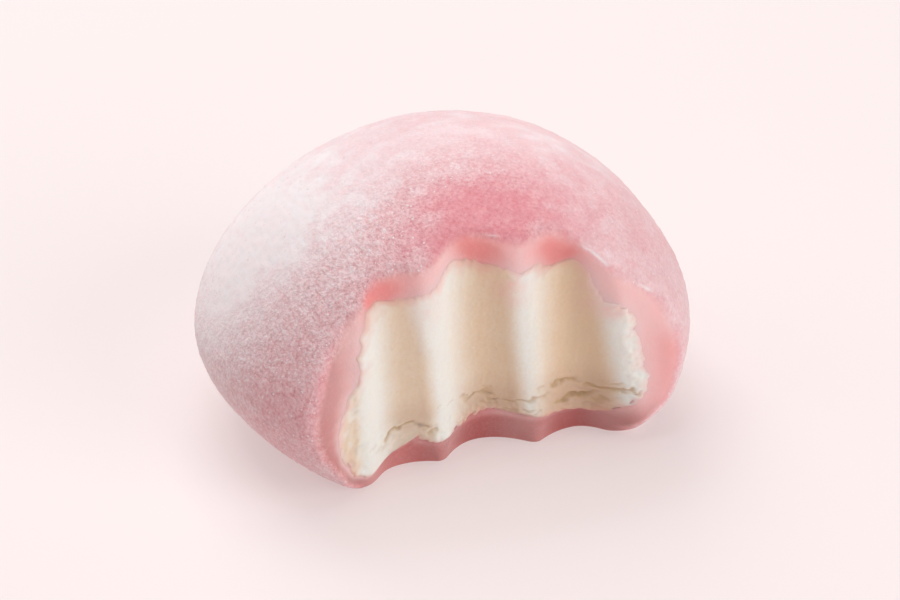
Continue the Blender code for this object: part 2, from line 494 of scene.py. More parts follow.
def dough_rows(settings):
    """The skin as closed rows: outside from behind to the bite, the cut, and back inside."""
    around = np.arange(ROUND_THE_BITE) * 2.0 * math.pi / ROUND_THE_BITE
    lip = settings.lip / MM
    wall = wall_thickness(around) + OVERLAP
    outer_edge = bite_edge(around, 0.0 * wall, lip)
    inner_edge = bite_edge(around, wall, lip)
    rows = []
    for share in np.linspace(0.0, 1.0, OUTER_ROWS + 1)[1:]:
        share = share + ROW_CROWDING * math.sin(math.pi * share) / math.pi
        away = math.pi + (outer_edge - math.pi) * share
        rows.append(shell_point(toward(around, away), 0.0 * wall))
    outer = rows[-1]
    inner = shell_point(toward(around, inner_edge), wall)
    for share in np.linspace(0.0, 1.0, CUT_ROWS + 1)[1:]:
        cut = outer + (inner - outer) * share
        cut[:, 1] = bite_depth(cut[:, 0], cut[:, 2], lip)
        rows.append(cut)
    for share in np.linspace(0.0, 1.0, INNER_ROWS + 1)[1:-1]:
        away = inner_edge + (math.pi - inner_edge) * share
        depth = wall + (WALL_BEHIND - wall) * min(3.0 * share, 1.0)
        rows.append(shell_point(toward(around, away), depth))
    return np.array(rows)


def make_dough(settings):
    """The dough skin, with its rounded bitten edge, its unevenness and its dusting."""
    rows = dough_rows(settings)
    order = np.arange(len(rows))
    edge_row, last_cut = OUTER_ROWS - 1, OUTER_ROWS - 1 + CUT_ROWS
    off_floor = ease(0.3, 3.5, rows[..., 2])
    rounding = np.exp(-((order - edge_row) / ROUNDED_ROWS) ** 2)[:, None] * off_floor
    rows = smooth_rows(rows, rounding, settings.edge_rounding)
    step = np.linalg.norm(np.diff(rows, axis=0, prepend=rows[:1]), axis=-1)
    run = np.cumsum(step, axis=0)
    x, z = rows[..., 0], rows[..., 2]
    marked = mark_share(x, z)
    mark_top = ease(12.0, 16.0, z)
    past_edge = run - run[edge_row] + RED_PAST_EDGE * marked * mark_top
    to_cream = run[last_cut] - run - OVERLAP
    inside = np.repeat((order > last_cut)[:, None], ROUND_THE_BITE, axis=1)

    # Where the dough is cut, and where starch covers it
    at_floor, near_edge = ease(3.0, 1.2, z), ease(-1.5, -0.2, past_edge)
    # Painted shade: at the front of the foot the outside of the skin takes the cut dough's colours
    # without starch, so the dark strip reaches round its lower edge
    foot = at_floor * near_edge * ease(-13.5, -11.5, x)
    cut = np.maximum(ease(-0.35, 0.85, past_edge), foot)
    ragged = layered(rows, (0.30, 1.5, 7), (0.15, 0.6, 8))
    undusted = ease(-0.5, 1.0, past_edge + ragged)
    cover = dust_cover(rows) * (1.0 - undusted) * (1.0 - foot)
    off_rim = (past_edge - RIM_LINE + 0.7 * ragged) / RIM_LINE_WIDTH
    patchy = ease(-0.1, 0.5, blob_noise(rows, 2.5, 9)) * ease(-4.0, 3.0, x)
    rim_line = np.exp(-off_rim ** 2) * (1.0 - foot) * patchy
    cover = np.clip(cover + settings.rim_starch * rim_line, 0.0, 1.0)

    # Unevenness, as relief along the surface's normal
    broad = layered(rows, (0.16, 9.0, 1), (0.06, 4.0, 2))
    clumps = layered(rows, (0.03, 0.8, 3), (0.05, 0.45, 4))
    torn = layered(rows, (0.10, 2.4, 5), (0.03, 0.9, 6))
    proud = broad * (1.0 - 0.5 * cut) + clumps * ease(0.0, 0.5, cover) + torn * cut
    proud = proud * np.maximum(ease(0.1, 1.2, to_cream), 1.0 - cut)
    lifted = ease(0.2, 2.5, z) * (1.0 - inside)
    rows = settled(rows + row_normals(rows) * (proud * lifted)[..., None])
    behind = toward(0.0, math.pi)
    poles = (settled(shell_point(behind, 0.0)), settled(shell_point(behind, WALL_BEHIND)))
    verts, faces = close_rows(rows, *poles)

    # Masks: painted shade on the strip of dough under the cream, painted shade as deeper red at the
    # tops of the tooth marks, loose grains, creamy dough
    # Painted shade: a dark strip of cut dough low down under the cream, a little lighter under the
    # first tooth mark, carried onto the left side of the cut band
    less_strip_shade = 0.3 * ease(-4.0, -8.0, x) * ease(-12.5, -10.5, x)
    under = ease(5.5, 2.5, z) * (1.0 - less_strip_shade)
    under = np.maximum(under, 0.8 * ease(-11.0, -15.0, x))
    # Painted shade: deeper red where the cut dough at the top of a tooth mark lies in shadow near
    # the cream and over the strip under it, and darker red low on the left and on the right of the
    # cut band
    deep = marked * np.maximum(0.8 * ease(4.4, 1.5, to_cream), under)
    deep = np.maximum(deep, 0.3 * ease(13.0, 8.0, z) * ease(-11.0, -13.0, x))
    deep = np.maximum(deep, 0.33 * ease(13.0, 10.0, z) * ease(14.0, 17.0, x))
    behind_crown = ease(-9.0, 3.0, rows[..., 1]) * ease(10.0, 20.0, z)
    grainy = (1.2 - 0.8 * behind_crown) * (1.0 - 0.5 * ease(2.0, 9.0, x))
    heaped, right_side = ease(0.85, 1.0, cover), ease(2.0, 8.0, x) * ease(6.0, 12.0, z)
    loose = ease(0.2, 0.9, cover) * (1.0 - 0.6 * heaped) * grainy * (1.0 - 0.75 * right_side)
    high, higher = ease(5.0, 11.0, z), ease(14.0, 17.0, z)
    pale_reach = 0.35 + (1.0 - marked) * (0.95 * high + 0.9 * higher)
    near_cream = np.exp(-(np.abs(to_cream) / pale_reach) ** 1.5)
    kept_red = np.maximum(under * cut * ease(-13.0, -5.0, x), marked)
    low_right = ease(9.0, 13.0, x) * ease(14.0, 11.0, z)
    soaked = near_cream * (0.75 - 0.6 * kept_red) * (1.0 - 0.6 * low_right)
    masks = {
        "cut": (cut, 0.0, 1.0),
        "dust": (cover * (1.0 - inside), DUST_ELSEWHERE, 0.0),
        "deep": (deep, 0.0, 0.0),
        "loose": (loose * (1.0 - inside), 0.5, 0.0),
        "grainy": (grainy, 1.0, 0.0),
        "under": (cut * under, 0.0, 0.0),
        "soaked": (soaked, 0.0, 0.0),
    }
    return make_piece("mochi_dough", verts, faces, {
        name: np.append(values.ravel(), at_poles)
        for name, (values, *at_poles) in masks.items()})


# ---- the filling

FACE_RADIUS = 13.0                   # where the fray of the cream's edge is read from the noise
STREAK_STRETCH = np.array([1.0, 1.0, 0.10])
SHEAR_STRETCH = np.array([0.22, 1.0, 1.0])
LAYER_SIZE = np.array([1.8, 1.0, 0.5])
EDGE_FADE = (0.0, 0.6)               # distance from the edge over which relief sets in


def distance_to_line(x, z, points):
    """Distance to a bent line across the face, and how far along it, from -1 to 1."""
    nearest = np.full(np.shape(x), 1.0e9)
    along = np.zeros(np.shape(x))
    pieces = len(points) - 1
    for order, (start, end) in enumerate(zip(points[:-1], points[1:])):
        span_x, span_z = end[0] - start[0], end[1] - start[1]
        share = (x - start[0]) * span_x + (z - start[1]) * span_z
        share = np.clip(share / (span_x ** 2 + span_z ** 2), 0.0, 1.0)
        apart = np.hypot(x - start[0] - share * span_x, z - start[1] - share * span_z)
        closer = apart < nearest
        nearest = np.where(closer, apart, nearest)
        along = np.where(closer, 2.0 * (order + share) / pieces - 1.0, along)
    return nearest, along


def fissure_depth(x, z):
    """Depth of the torn fissures at one place of the bitten face."""
    flat = np.stack([x, np.zeros_like(x), z], -1)
    wander = layered(flat, (0.24, 0.8, 31), (0.16, 0.32, 32))
    ragged = GROOVE_WIDENING * np.maximum(1.0 + 0.6 * blob_noise(flat, 0.7, 37), 0.3)
    depth = np.zeros(np.shape(x))
    for line in FISSURES + small_fissures(SMALL_FISSURES):
        apart, along = distance_to_line(x, z + wander, line.points)
        taper = np.sqrt(np.clip(1.0 - along ** 4, 0.0, 1.0))
        groove = np.exp(-(apart / (line.half_width * ragged)) ** 2)
        depth = np.maximum(depth, line.depth * taper * groove)
    return FISSURE_DEPTH * depth


def small_fissures(count):
    """Short level tears at random places of the zone where the filling crumbled."""
    draw = np.random.default_rng(SMALL_FISSURE_SEED)
    tears = []
    for _ in range(count):
        x, z = draw.uniform(-11.0, 14.0), draw.uniform(3.4, CRUMBLE_TOP)
        half, slope = draw.uniform(0.25, 0.9), draw.uniform(-0.35, 0.35)
        points = ((x - half, z - slope * half), (x, z + draw.uniform(-0.12, 0.12)),
                  (x + half, z + slope * half))
        tears.append(Fissure(points, draw.uniform(0.06, 0.16), draw.uniform(0.07, 0.12)))
    return tuple(tears)


def face_relief(flat, to_edge):
    """Unevenness of the bitten cream: streaks of the teeth, broken layers and crumbs."""
    x, z = flat[..., 0], flat[..., 2]
    crumbly = np.maximum(1.0 - ease(3.0, CRUMBLE_TOP, z), ease(11.8, 13.5, x))
    crumbly = np.maximum(crumbly, ease(-11.8, -12.8, x) * ease(14.0, 11.0, z))
    relief = layered(flat, (0.05, 2.2, 33), (0.012, 0.26, 36))
    relief = relief + layered(flat * STREAK_STRETCH, (0.02, 0.5, 34))
    relief = relief + layered(flat * SHEAR_STRETCH, (0.02, 0.35, 43))
    broken = 1.0 - ease(4.5, CRUMBLE_TOP + 0.6, z)
    relief = relief + layered(flat / LAYER_SIZE, (0.09, 1.0, 47)) * broken
    lumps = layered(flat, (0.09, 0.8, 35), (0.07, 0.38, 44)) * (1.0 + ease(-11.5, -12.5, x))
    relief = relief + crumbly * (lumps + layered(flat, (0.03, 0.2, 48)))
    edge_bead = np.exp(-((to_edge - 0.8) / 0.4) ** 2)
    swell = 0.13 * ease(0.0, 0.5, to_edge) + 0.05 * edge_bead - 0.07
    return relief * ease(*EDGE_FADE, to_edge) - swell


def make_filling(lip):
    """The cream: a bitten face with tooth marks and fissures, closed behind the dough."""
    around = np.arange(FACE_COLUMNS) * 2.0 * math.pi / FACE_COLUMNS
    wall = wall_thickness(around)
    ring = np.stack([np.cos(around), np.sin(around), 0.0 * around], -1) * FACE_RADIUS
    fray = 0.15 + layered(ring, (0.16, 1.3, 41), (0.18, 0.4, 42))
    edge_depth = wall - np.clip(fray, -0.1, 0.45)
    away = bite_edge(around, edge_depth, lip)
    edge = shell_point(toward(around, away), edge_depth)
    middle = np.array([FACE_MIDDLE[0], 0.0, FACE_MIDDLE[1]])
    shares = np.linspace(0.0, 1.0, FACE_ROWS + 1)[1:]
    face = middle + (edge - middle) * shares[:, None, None]
    x, z = face[..., 0], face[..., 2]
    flat = np.stack([x, 0.0 * x, z], -1)
    to_edge = np.hypot(x - edge[:, 0], z - edge[:, 2])
    crack = fissure_depth(x, z)
    torn = crack * ease(*EDGE_FADE, to_edge)
    face[..., 1] = bite_depth(x, z, lip) + torn + face_relief(flat, to_edge)
    behind = []
    depth_behind = WALL_BEHIND - FILLING_GAP
    for share in np.linspace(0.0, 1.0, BACK_ROWS + 1)[1:-1]:
        turn = away + (math.pi - away) * share
        depth = edge_depth + (depth_behind - edge_depth) * min(3.0 * share, 1.0)
        behind.append(shell_point(toward(around, turn), depth))
    rows = settled(np.concatenate([face, np.array(behind)]))
    first = np.array([middle[0], bite_depth(middle[0], middle[2], lip), middle[2]])
    last = settled(shell_point(toward(0.0, math.pi), depth_behind))
    verts, faces = close_rows(rows, first, last)

    # Masks: dough smeared over the cream, tan tooth marks that are partly painted shade,
    # painted shade low in the tooth marks and in the fissures
    blot = 1.0 + layered(flat, (0.5, 1.2, 45), (0.3, 0.45, 46))
    reach = 0.40 + 0.2 * ease(3.5, 8.0, z) + 0.3 * ease(14.0, 18.0, z)
    reach = reach * np.clip(blot, 0.25, 2.0)
    soak = np.exp(-(np.maximum(to_edge - 0.15, 0.0) / reach) ** 1.3)
    for film in FILMS:
        off = ((x - film.x) / film.half_width) ** 2 + ((z - film.z) / film.half_height) ** 2
        soak = np.maximum(soak, film.amount * np.exp(-off) * np.clip(blot, 0.0, 1.3))
    tan = tan_and_shade_share(x, z)
    browned = (0.62 + 0.35 * blob_noise(flat, 0.7, 49)) * ease(-11.7, -12.9, x)
    masks = {
        "tan": np.maximum(tan, browned),
        # Painted shade: the tooth marks darken towards the floor
        "low": (1.0 - ease(3.5, 9.0, z)) * tan,
        # Partly a stain from the dough, partly painted shade: the soaked cream is darker low down
        # and in the middle of the tooth marks
        "under": np.maximum(1.0 - ease(3.0, 6.0, z), 0.8 * mark_share(x, z)),
        "soaked": np.clip(soak, 0.0, 1.0),
        "fissure": np.clip(crack / FULL_FISSURE_SHADE_DEPTH, 0.0, 1.0),
    }
    elsewhere = np.zeros((BACK_ROWS - 1) * FACE_COLUMNS + 2)
    return make_piece("cream_core", verts, faces, {
        name: np.concatenate([values.ravel(), elsewhere]) for name, values in masks.items()})


# ---- shader helpers

def feed(tree, socket, value):
    """Link an input to another node's output, or set it to a value."""
    if isinstance(value, bpy.types.NodeSocket):
        tree.links.new(value, socket)
    else:
        socket.default_value = value


def add_node(tree, kind, **values):
    """The next node in rows of eight, with its named properties set and its inputs fed."""
    row, column = divmod(len(tree.nodes), 8)
    node = tree.nodes.new(kind)
    node.location = (220 * column, -320 * row)
    for key, value in values.items():
        if key in node.inputs:
            feed(tree, node.inputs[key], value)
        else:
            setattr(node, key, value)
    return node


def new_material(name, **finish):
    """A material with an output and a Principled shader, whose own sockets are set."""
    material = bpy.data.materials.new(name)
    material.use_nodes = True
    tree = material.node_tree
    tree.nodes.clear()
    shader = add_node(tree, "ShaderNodeBsdfPrincipled", **finish)
    add_node(tree, "ShaderNodeOutputMaterial", Surface=shader.outputs["BSDF"])
    return material, tree, shader


def mix_colours(tree, factor, first, second, blend="MIX"):
    """A colour mix whose factor and colours are sockets or values."""
    node = add_node(tree, "ShaderNodeMix", data_type="RGBA", blend_type=blend)
    feed(tree, node.inputs[0], factor)
    for socket, value in zip((node.inputs[6], node.inputs[7]), (first, second)):
        feed(tree, socket, value if isinstance(value, bpy.types.NodeSocket) else (*value, 1.0))
    return node.outputs[2]


def calculate(tree, operation, *values, kind="ShaderNodeMath", **properties):
    """A Math or Vector Math node on sockets or numbers."""
    node = add_node(tree, kind, operation=operation, **properties)
    for socket, value in zip(node.inputs, values):
        feed(tree, socket, value)
    return node.outputs[0]


def read_attributes(tree, *names):
    """The values of point attributes."""
    nodes = [add_node(tree, "ShaderNodeAttribute", attribute_name=name) for name in names]
    return [node.outputs["Fac"] for node in nodes]


def object_vector(tree):
    """Object coordinates, metres."""
    return add_node(tree, "ShaderNodeTexCoord").outputs["Object"]


def add_bump(tree, shader, height, strength, distance):
    """Turn a height into the shader's normal."""
    bump = add_node(
        tree, "ShaderNodeBump", Strength=strength, Distance=distance, Height=height)
    tree.links.new(bump.outputs["Normal"], shader.inputs["Normal"])


def add_sockets(tree, way, *wanted):
    """Inputs or outputs of a node group: a name, a kind and, where it has one, a default."""
    for name, kind, *default in wanted:
        socket = tree.interface.new_socket(name, in_out=way, socket_type="NodeSocket" + kind)
        if default:
            socket.default_value = default[0]


def grain_group():
    """Shader group: a powdery speckle at two scales, as a mask and as a height."""
    name = "powder grain"
    if name in bpy.data.node_groups:
        return bpy.data.node_groups[name]
    tree = bpy.data.node_groups.new(name, "ShaderNodeTree")
    add_sockets(
        tree, "INPUT", ("Vector", "Vector"), ("Grain Size", "Float", 0.0003),
        ("Clump Size", "Float", 0.0012), ("Contrast", "Float", 1.0))
    add_sockets(tree, "OUTPUT", ("Speckle", "Float"), ("Height", "Float"))
    given = add_node(tree, "NodeGroupInput").outputs
    fine, clump = (
        add_node(
            tree, "ShaderNodeTexNoise", Vector=given["Vector"], Detail=2.0, Roughness=roughness,
            Scale=calculate(tree, "DIVIDE", 1.0, given[size])).outputs["Fac"]
        for size, roughness in (("Grain Size", 0.65), ("Clump Size", 0.5)))
    fine_part = calculate(tree, "MULTIPLY", fine, 0.7)
    clump_part = calculate(tree, "MULTIPLY", clump, 0.3)
    both = calculate(tree, "ADD", fine_part, clump_part)
    centred = calculate(tree, "SUBTRACT", both, 0.5)
    speckle = calculate(tree, "MULTIPLY", centred, given["Contrast"])
    add_node(tree, "NodeGroupOutput", Speckle=speckle, Height=both)
    return tree


def place_grain(tree, grain, clump, contrast):
    """The powder grain group in a material, with its own values."""
    node = add_node(tree, "ShaderNodeGroup", node_tree=grain_group())
    for socket, value in zip(node.inputs, (object_vector(tree), grain, clump, contrast)):
        feed(tree, socket, value)
    return node.outputs


def half_covered(tree, cover):
    """1 where the cover is half open, falling towards 0.2 where it is bare or whole."""
    bare = calculate(tree, "SUBTRACT", 1.0, cover)
    both = calculate(tree, "MULTIPLY", bare, cover)
    room = calculate(tree, "MULTIPLY", both, 4.0, use_clamp=True)
    return calculate(tree, "MULTIPLY_ADD", room, 0.8, 0.2)


# ---- materials

def dough_material(settings, starch):
    """Pink rice dough: starch outside, smooth and more saturated where it is bitten,
    with painted shade as deeper red at the tooth marks, as a dark strip under the cream and in the
    grain.
    """
    material, tree, shader = new_material("rice_dough", **{
        "Subsurface Weight": 0.35, "Subsurface Radius": (1.0, 0.32, 0.28),
        "Subsurface Scale": 0.0018, "IOR": 1.42, "Specular IOR Level": 0.3})
    dust, cut, deep, under, soaked, grainy = read_attributes(
        tree, "dust", "cut", "deep", "under", "soaked", "grainy")
    grain = place_grain(tree, grain=starch.speck_size, clump=0.0009, contrast=1.15)
    room = calculate(tree, "MULTIPLY", half_covered(tree, dust), grainy)
    change = calculate(tree, "MULTIPLY", grain["Speckle"], room)
    powder = calculate(tree, "ADD", dust, change, use_clamp=True)
    # Painted shade: deeper red where the cut dough lies in shadow at the tops of the tooth marks
    bare = mix_colours(tree, deep, settings.cut_colour, settings.deep_red_shade_colour)
    # Painted shade: the dark strip under the cream, darker under the tooth marks than under the
    # ridges
    strip_shade = mix_colours(tree, deep, settings.ridge_strip_shade_colour, settings.strip_shade_colour)
    bare = mix_colours(tree, under, bare, strip_shade)
    bare = mix_colours(tree, soaked, bare, settings.soaked_colour)
    dough = mix_colours(tree, cut, settings.dough_colour, bare)
    skin = mix_colours(tree, powder, dough, starch.colour)
    # Painted light and shade of the grain: the colour is darkened in the speckle's low spots and
    # lightened in its high ones
    grain_light_and_shade = calculate(tree, "MULTIPLY_ADD", change, 0.3, 1.0)
    skin_with_grain_shade = mix_colours(tree, 1.0, skin, grain_light_and_shade, blend="MULTIPLY")
    tree.links.new(skin_with_grain_shade, shader.inputs["Base Color"])
    rough = calculate(tree, "MULTIPLY_ADD", powder, 0.35, 0.45, use_clamp=True)
    tree.links.new(rough, shader.inputs["Roughness"])
    height = calculate(tree, "MULTIPLY", grain["Height"], room)
    add_bump(tree, shader, height, strength=1.0, distance=0.00025)
    return material


def cream_material(settings):
    """Frozen cream: off-white ridges, tan tooth marks that are partly painted shade,
    painted shade low down in them and in the fissures, pink at the dough.
    """
    material, tree, shader = new_material("frozen_cream", **{
        "Roughness": 0.55, "Specular IOR Level": 0.25, "Subsurface Weight": 0.35,
        "Subsurface Radius": (1.0, 0.75, 0.5), "Subsurface Scale": 0.0012})
    tan, low, soaked, fissure, under = read_attributes(
        tree, "tan", "low", "soaked", "fissure", "under")
    grain = place_grain(tree, grain=0.0003, clump=0.0014, contrast=0.55)
    # Partly the cream's own tone, partly painted shade: the tooth marks are tan in their hollows
    shade = calculate(tree, "ADD", tan, grain["Speckle"], use_clamp=True)
    body = mix_colours(tree, shade, settings.ridge_colour, settings.tan_and_shade_colour)
    # Painted shade: the cream darkens low down in the tooth marks
    body = mix_colours(tree, low, body, settings.low_shade_colour)
    # Partly a stain from the dough, partly painted shade: darker soaked cream low down and in the
    # tooth marks
    stain = mix_colours(tree, under, settings.soaked_colour, settings.stain_and_shade_colour)
    body = mix_colours(tree, soaked, body, stain)
    # Painted shade in the fissures, by their depth
    crack = calculate(tree, "MULTIPLY", fissure, 0.75)
    body = mix_colours(tree, crack, body, settings.fissure_colour)
    tree.links.new(body, shader.inputs["Base Color"])
    add_bump(tree, shader, grain["Height"], strength=0.35, distance=0.0001)
    return material


def starch_material(settings):
    """Loose grains of starch."""
    material, tree, shader = new_material(
        "potato_starch", **{"Roughness": 0.9, "Specular IOR Level": 0.2})
    grain = place_grain(tree, grain=0.0005, clump=0.002, contrast=0.4)
    tone = mix_colours(tree, grain["Height"], settings.shade_colour, settings.colour)
    tree.links.new(tone, shader.inputs["Base Color"])
    return material


def floor_material(settings):
    """A pale floor with a faint even grain, lit from within like a light table."""
    material, tree, shader = new_material("pale_floor", **{
        "Roughness": 0.8, "Specular IOR Level": 0.1, "Emission Strength": 1.0})
    vector = object_vector(tree)
    distance = add_node(tree, "ShaderNodeVectorMath", operation="LENGTH")
    tree.links.new(vector, distance.inputs[0])
    far = add_node(
        tree, "ShaderNodeMapRange", interpolation_type="SMOOTHSTEP",
        Value=distance.outputs["Value"], **{"From Min": 0.15, "From Max": 1.0})
    glow = mix_colours(tree, far.outputs["Result"], settings.glow_colour, settings.far_colour)
    tree.links.new(glow, shader.inputs["Emission Color"])
    noise = add_node(tree, "ShaderNodeTexNoise", Vector=vector, Scale=40.0, Detail=2.0)
    darker = [0.985 * value for value in settings.floor_colour]
    tone = mix_colours(tree, noise.outputs["Fac"], settings.floor_colour, darker)
    tree.links.new(tone, shader.inputs["Base Color"])
    return material


# ---- scattered starch

def scatter_tree():
    """Geometry Nodes: small faceted grains scattered over a surface by a point attribute."""
    name = "starch scatter"
    if name in bpy.data.node_groups:
        return bpy.data.node_groups[name]
    tree = bpy.data.node_groups.new(name, "GeometryNodeTree")
    add_sockets(
        tree, "INPUT", ("Geometry", "Geometry"), ("Density", "Float", 5.0e6),
        ("Cover", "String", "loose"), ("Grain Radius", "Float", 0.0001),
        ("Size Spread", "Float", 0.5), ("Flatness", "Float", 0.35), ("Segments", "Int", 5),
        ("Rings", "Int", 3), ("Seed", "Int", 1), ("Material", "Material"))
    add_sockets(tree, "OUTPUT", ("Geometry", "Geometry"))
    given = add_node(tree, "NodeGroupInput").outputs
    cover = add_node(
        tree, "GeometryNodeInputNamedAttribute", data_type="FLOAT", Name=given["Cover"])
    density = calculate(tree, "MULTIPLY", given["Density"], cover.outputs["Attribute"])
    points = add_node(
        tree, "GeometryNodeDistributePointsOnFaces", Mesh=given["Geometry"],
        Density=density, Seed=given["Seed"]).outputs
    grain = add_node(
        tree, "GeometryNodeMeshUVSphere", Segments=given["Segments"],
        Rings=given["Rings"], Radius=given["Grain Radius"])
    size = add_node(
        tree, "FunctionNodeRandomValue", data_type="FLOAT_VECTOR",
        Min=calculate(tree, "SUBTRACT", 1.0, given["Size Spread"]),
        Max=calculate(tree, "ADD", 1.0, given["Size Spread"]),
        Seed=given["Seed"])
    flatness = add_node(tree, "ShaderNodeCombineXYZ", X=1.0, Y=1.0, Z=given["Flatness"])
    scale = calculate(
        tree, "MULTIPLY", size.outputs["Value"], flatness.outputs[0],
        kind="ShaderNodeVectorMath")
    put = add_node(
        tree, "GeometryNodeInstanceOnPoints", Points=points["Points"],
        Instance=grain.outputs["Mesh"], Rotation=points["Rotation"], Scale=scale)
    real = add_node(tree, "GeometryNodeRealizeInstances", Geometry=put.outputs["Instances"])
    finish = add_node(
        tree, "GeometryNodeSetMaterial", Geometry=real.outputs["Geometry"],
        Material=given["Material"])
    add_node(tree, "NodeGroupOutput", Geometry=finish.outputs["Geometry"])
    return tree


def scatter(name, surface, material, **values):
    """Run the starch scatter on a surface, and keep the result as a plain mesh."""
    tree = scatter_tree()
    carrier = place_in_scene(name + "_carrier", surface.data)
    modifier = carrier.modifiers.new("scatter", "NODES")
    modifier.node_group = tree
    sockets = {
        item.name: item.identifier for item in tree.interface.items_tree
        if item.in_out == "INPUT"}
    values["Material"] = material
    for label, value in values.items():
        modifier[sockets[label]] = value
    evaluated = carrier.evaluated_get(bpy.context.evaluated_depsgraph_get())
    mesh = bpy.data.meshes.new_from_object(evaluated)
    mesh.name = name
    bpy.data.objects.remove(carrier)
    return place_in_scene(name, mesh)


# ---- settings

def length(name, description, default, low=0.0, high=0.1):
    """A length property in metres."""
    return bpy.props.FloatProperty(
        name=name, description=description, default=default, min=low, max=high,
        unit="LENGTH", subtype="DISTANCE", precision=5)


def tint(name, description, default):
    """A colour property, scene linear."""
    return bpy.props.FloatVectorProperty(
        name=name, description=description, default=default, min=0.0, max=1.0,
        size=3, subtype="COLOR")


class MochiDoughSettings(bpy.types.PropertyGroup):
    """The dough skin."""

    lip: length("Lip", "How far the lower edge is torn outwards", 0.0006)
    edge_rounding: bpy.props.IntProperty(
        name="Edge rounding", description="How soft the bitten edge is", default=50, min=0, max=150)
    rim_starch: bpy.props.FloatProperty(
        name="Rim starch", description="Starch caught along the bitten edge", default=0.6,
        min=0.0, max=1.0, subtype="FACTOR")
    dough_colour: tint("Dough", "Pink dough under the starch", (0.73, 0.25, 0.285))
    cut_colour: tint("Cut dough", "Dough on the ridges of the bite", (0.89, 0.53, 0.525))
    # Painted shade: the cut dough in shadow at the top of a tooth mark
    deep_red_shade_colour: tint("Deep dough", "Dough at the top of a tooth mark", (0.80, 0.22, 0.205))
    # Painted shade: the strip of cut dough under the cream, where shadow falls
    strip_shade_colour: tint("Lower strip", "Thin dough under a tooth mark", (0.44, 0.128, 0.120))
    ridge_strip_shade_colour: tint("Lower ridge", "Thin dough under a ridge", (0.54, 0.25, 0.24))
    soaked_colour: tint("Creamy dough", "Dough that met the cream", (0.89, 0.60, 0.59))


class MochiCreamSettings(bpy.types.PropertyGroup):
    """The filling."""

    ridge_colour: tint("Ridges", "Cream between the tooth marks", (0.835, 0.835, 0.785))
    # Partly the cream's own tone, partly painted shade in the hollows of the tooth marks
    tan_and_shade_colour: tint("Tooth marks", "Cream down in the tooth marks", (0.755, 0.57, 0.395))
    # Painted shade: cream low down in the tooth marks, where shade falls
    low_shade_colour: tint("Lower cream", "Cream low down in the tooth marks", (0.62, 0.43, 0.31))
    fissure_colour: tint("Fissures", "Shade in the fissures", (0.56, 0.38, 0.20))
    soaked_colour: tint("Soaked", "Cream that the dough has coloured", (0.88, 0.60, 0.56))
    # Partly a stain from the dough, partly painted shade low down and in the tooth marks
    stain_and_shade_colour: tint("Lower stain", "Cream that the lower strip has coloured", (0.70, 0.35, 0.27))


class MochiStarchSettings(bpy.types.PropertyGroup):
    """The dusting."""

    speck_size: length("Speck", "Grain of the dusted surface", 0.00032)
    grain_radius: length("Grain", "Radius of the loose grains", 0.00009)
    colour: tint("Starch", "Starch in the light", (0.90, 0.80, 0.81))
    shade_colour: tint("Starch shade", "Starch with dough showing through", (0.86, 0.66, 0.68))


class MochiStageSettings(bpy.types.PropertyGroup):
    """Floor, light and camera."""

    floor_colour: tint("Floor", "Pale floor", (0.495, 0.445, 0.440))
    glow_colour: tint("Floor glow", "Light from within the floor", (0.43, 0.378, 0.374))
    far_colour: tint("Far floor", "Floor and surround in the distance", (0.93, 0.84, 0.83))
    camera_distance: length("Distance", "Camera to the middle of the ball", 0.300, high=2.0)
    camera_azimuth: bpy.props.FloatProperty(
        name="Azimuth", description="Camera's turn from straight in front of the bite",
        default=math.radians(-21.0), subtype="ANGLE")
    camera_elevation: bpy.props.FloatProperty(
        name="Elevation", description="Camera's height above the floor", default=math.radians(32.0),
        subtype="ANGLE")
    light_power: bpy.props.FloatProperty(
        name="Light", description="Brightness of all the lights", default=1.0, min=0.0)


# ---- operators

class MOCHI_OT_dough(bpy.types.Operator):
    """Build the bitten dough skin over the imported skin"""

    bl_idname = "mochi.dough"
    bl_label = "Dough skin"

    def execute(self, context):
        scene = context.scene
        piece = make_dough(scene.mochi_dough)
        piece.data.materials.append(dough_material(scene.mochi_dough, scene.mochi_starch))
        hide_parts("mochi_skin")
        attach(piece, "root")
        return {"FINISHED"}


class MOCHI_OT_cream(bpy.types.Operator):
    """Build the cream filling with its tooth marks"""

    bl_idname = "mochi.cream"
    bl_label = "Cream filling"

    def execute(self, context):
        scene = context.scene
        piece = make_filling(scene.mochi_dough.lip / MM)
        piece.data.materials.append(cream_material(scene.mochi_cream))
        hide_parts("cream_filling")
        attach(piece, "root")
        return {"FINISHED"}


class MOCHI_OT_starch(bpy.types.Operator):
    """Scatter loose grains of starch over the dusted dough"""

    bl_idname = "mochi.starch"
    bl_label = "Starch"

    def execute(self, context):
        settings = context.scene.mochi_starch
        dough = bpy.data.objects["mochi_dough"]
        material = starch_material(settings)
        fine = scatter("starch_grains", dough, material, Density=4.0e6, Seed=7, **{
            "Grain Radius": settings.grain_radius, "Size Spread": 0.5, "Segments": 4, "Rings": 2})
        clumps = scatter("starch_clumps", dough, material, Density=0.08e6, Seed=11, **{
            "Grain Radius": 1.5 * settings.grain_radius, "Size Spread": 0.5, "Flatness": 0.2,
            "Segments": 6, "Rings": 4})
        for piece in (fine, clumps):
            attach(piece, "root")
        return {"FINISHED"}


class MOCHI_OT_stage(bpy.types.Operator):
    """Put up the floor, the light and the camera"""

    bl_idname = "mochi.stage"
    bl_label = "Stage"

    def execute(self, context):
        settings = context.scene.mochi_stage
        make_floor(settings)
        make_lights(settings)
        make_camera(settings)
        return {"FINISHED"}


